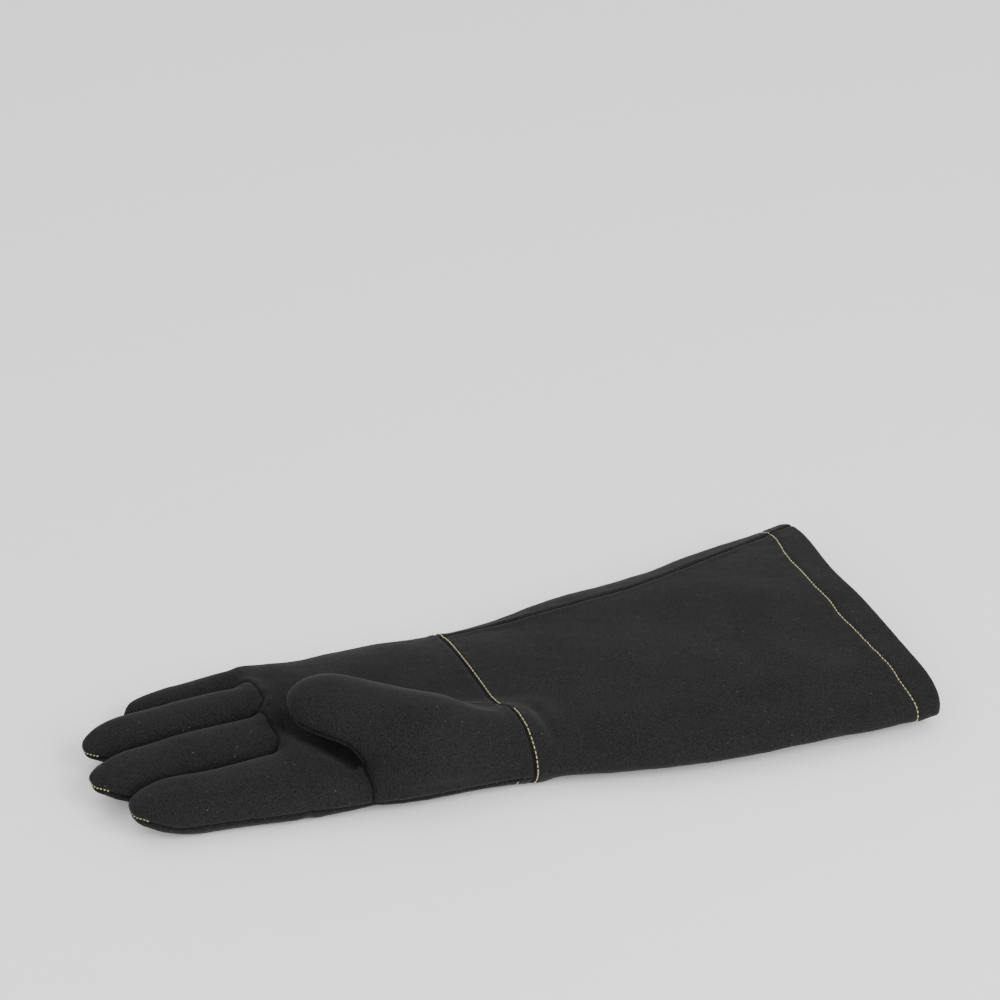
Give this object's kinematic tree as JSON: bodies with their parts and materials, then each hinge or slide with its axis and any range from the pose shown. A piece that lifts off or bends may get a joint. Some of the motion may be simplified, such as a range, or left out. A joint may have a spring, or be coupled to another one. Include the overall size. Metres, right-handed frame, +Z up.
{
  "type": "heat resistant glove",
  "caption": "Long cuffed fabric glove for handling hot cookware and grills, lying palm up with the thumb folded over the palm.",
  "frame": {"origin": "middle of the glove's underside, where it lies on a table", "axes": "+X from the fingertips to the cuff's mouth, +Y from the thumb side to the little finger side, +Z up out of the palm"},
  "size_m": [0.434, 0.1899, 0.0527],
  "materials": {
    "knit_shell": "fine ribbed charcoal knit with a fuzzy nap",
    "felt_lining": "dark needled felt",
    "aramid_thread": "twisted pale yellow sewing thread"
  },
  "bodies": {
    "gauntlet": {"cuff_palm_panel": "knit_shell", "cuff_back_panel": "knit_shell", "cuff_hem_fold": "knit_shell", "cuff_lining": "felt_lining", "wrist_topstitch": "aramid_thread", "hem_topstitch": "aramid_thread"},
    "hand": {"hand_back_panel": "knit_shell", "hand_lining": "felt_lining", "palm_panel": "knit_shell", "thumb_wing_base": "knit_shell", "middle_palm_root": "knit_shell", "ring_palm_root": "knit_shell"},
    "thumb": {"thumb_wing_tip": "knit_shell", "thumb_lining_tip": "felt_lining"},
    "index_base": {"index_back_base": "knit_shell", "index_palm_base": "knit_shell", "index_lining_base": "felt_lining"},
    "index_tip": {"index_back_tip": "knit_shell", "index_palm_tip": "knit_shell", "index_lining_tip": "felt_lining"},
    "middle_base": {"middle_back_base": "knit_shell", "middle_palm_base": "knit_shell", "middle_lining_base": "felt_lining"},
    "middle_tip": {"middle_back_tip": "knit_shell", "middle_palm_tip": "knit_shell", "middle_lining_tip": "felt_lining"},
    "ring_base": {"ring_back_base": "knit_shell", "ring_palm_base": "knit_shell", "ring_lining_base": "felt_lining"},
    "ring_tip": {"ring_back_tip": "knit_shell", "ring_palm_tip": "knit_shell", "ring_lining_tip": "felt_lining"},
    "little_base": {"little_back_base": "knit_shell", "little_palm_base": "knit_shell", "little_lining_base": "felt_lining"},
    "little_tip": {"little_back_tip": "knit_shell", "little_palm_tip": "knit_shell", "little_lining_tip": "felt_lining"}
  },
  "joints": [
    {"name": "wrist_bend", "type": "hinge", "parent": "gauntlet", "child": "hand", "pos_m": [-0.005, 0.0124, 0.0145], "axis": [0, 1, 0], "range_deg": [-25, 35], "stiffness_Nm_per_rad": 0.25},
    {"name": "thumb_lift", "type": "hinge", "parent": "hand", "child": "thumb", "pos_m": [-0.05434, -0.02018, 0.05024], "axis": [0.5762, 0.8173, 0], "range_deg": [0, 45], "stiffness_Nm_per_rad": 0.06},
    {"name": "index_curl", "type": "hinge", "parent": "hand", "child": "index_base", "pos_m": [-0.13888, -0.01267, 0.0267], "axis": [0.1286, 0.9917, 0], "range_deg": [0, 60], "stiffness_Nm_per_rad": 0.06},
    {"name": "index_tip_curl", "type": "hinge", "parent": "index_base", "child": "index_tip", "pos_m": [-0.16962, -0.00869, 0.0267], "axis": [0.1286, 0.9917, 0], "range_deg": [0, 70], "stiffness_Nm_per_rad": 0.03},
    {"name": "middle_curl", "type": "hinge", "parent": "hand", "child": "middle_base", "pos_m": [-0.13899, 0.02308, 0.0267], "axis": [0.0322, 0.9995, 0], "range_deg": [0, 60], "stiffness_Nm_per_rad": 0.06},
    {"name": "middle_tip_curl", "type": "hinge", "parent": "middle_base", "child": "middle_tip", "pos_m": [-0.17397, 0.02421, 0.0267], "axis": [0.0322, 0.9995, 0], "range_deg": [0, 70], "stiffness_Nm_per_rad": 0.03},
    {"name": "ring_curl", "type": "hinge", "parent": "hand", "child": "ring_base", "pos_m": [-0.139, 0.05454, 0.0255], "axis": [0.0091, 1, 0], "range_deg": [0, 60], "stiffness_Nm_per_rad": 0.06},
    {"name": "ring_tip_curl", "type": "hinge", "parent": "ring_base", "child": "ring_tip", "pos_m": [-0.172, 0.05484, 0.0255], "axis": [0.0091, 1, 0], "range_deg": [0, 70], "stiffness_Nm_per_rad": 0.03},
    {"name": "little_curl", "type": "hinge", "parent": "hand", "child": "little_base", "pos_m": [-0.137, 0.08006, 0.0215], "axis": [-0.0263, 0.9997, 0], "range_deg": [0, 60], "stiffness_Nm_per_rad": 0.06},
    {"name": "little_tip_curl", "type": "hinge", "parent": "little_base", "child": "little_tip", "pos_m": [-0.16099, 0.07943, 0.0215], "axis": [-0.0263, 0.9997, 0], "range_deg": [0, 70], "stiffness_Nm_per_rad": 0.03}
  ],
  "couplings": [
    {"joint": "index_tip_curl", "follows": "index_curl", "ratio": 1.15},
    {"joint": "middle_tip_curl", "follows": "middle_curl", "ratio": 1.15},
    {"joint": "ring_tip_curl", "follows": "ring_curl", "ratio": 1.15},
    {"joint": "little_tip_curl", "follows": "little_curl", "ratio": 1.15}
  ]
}
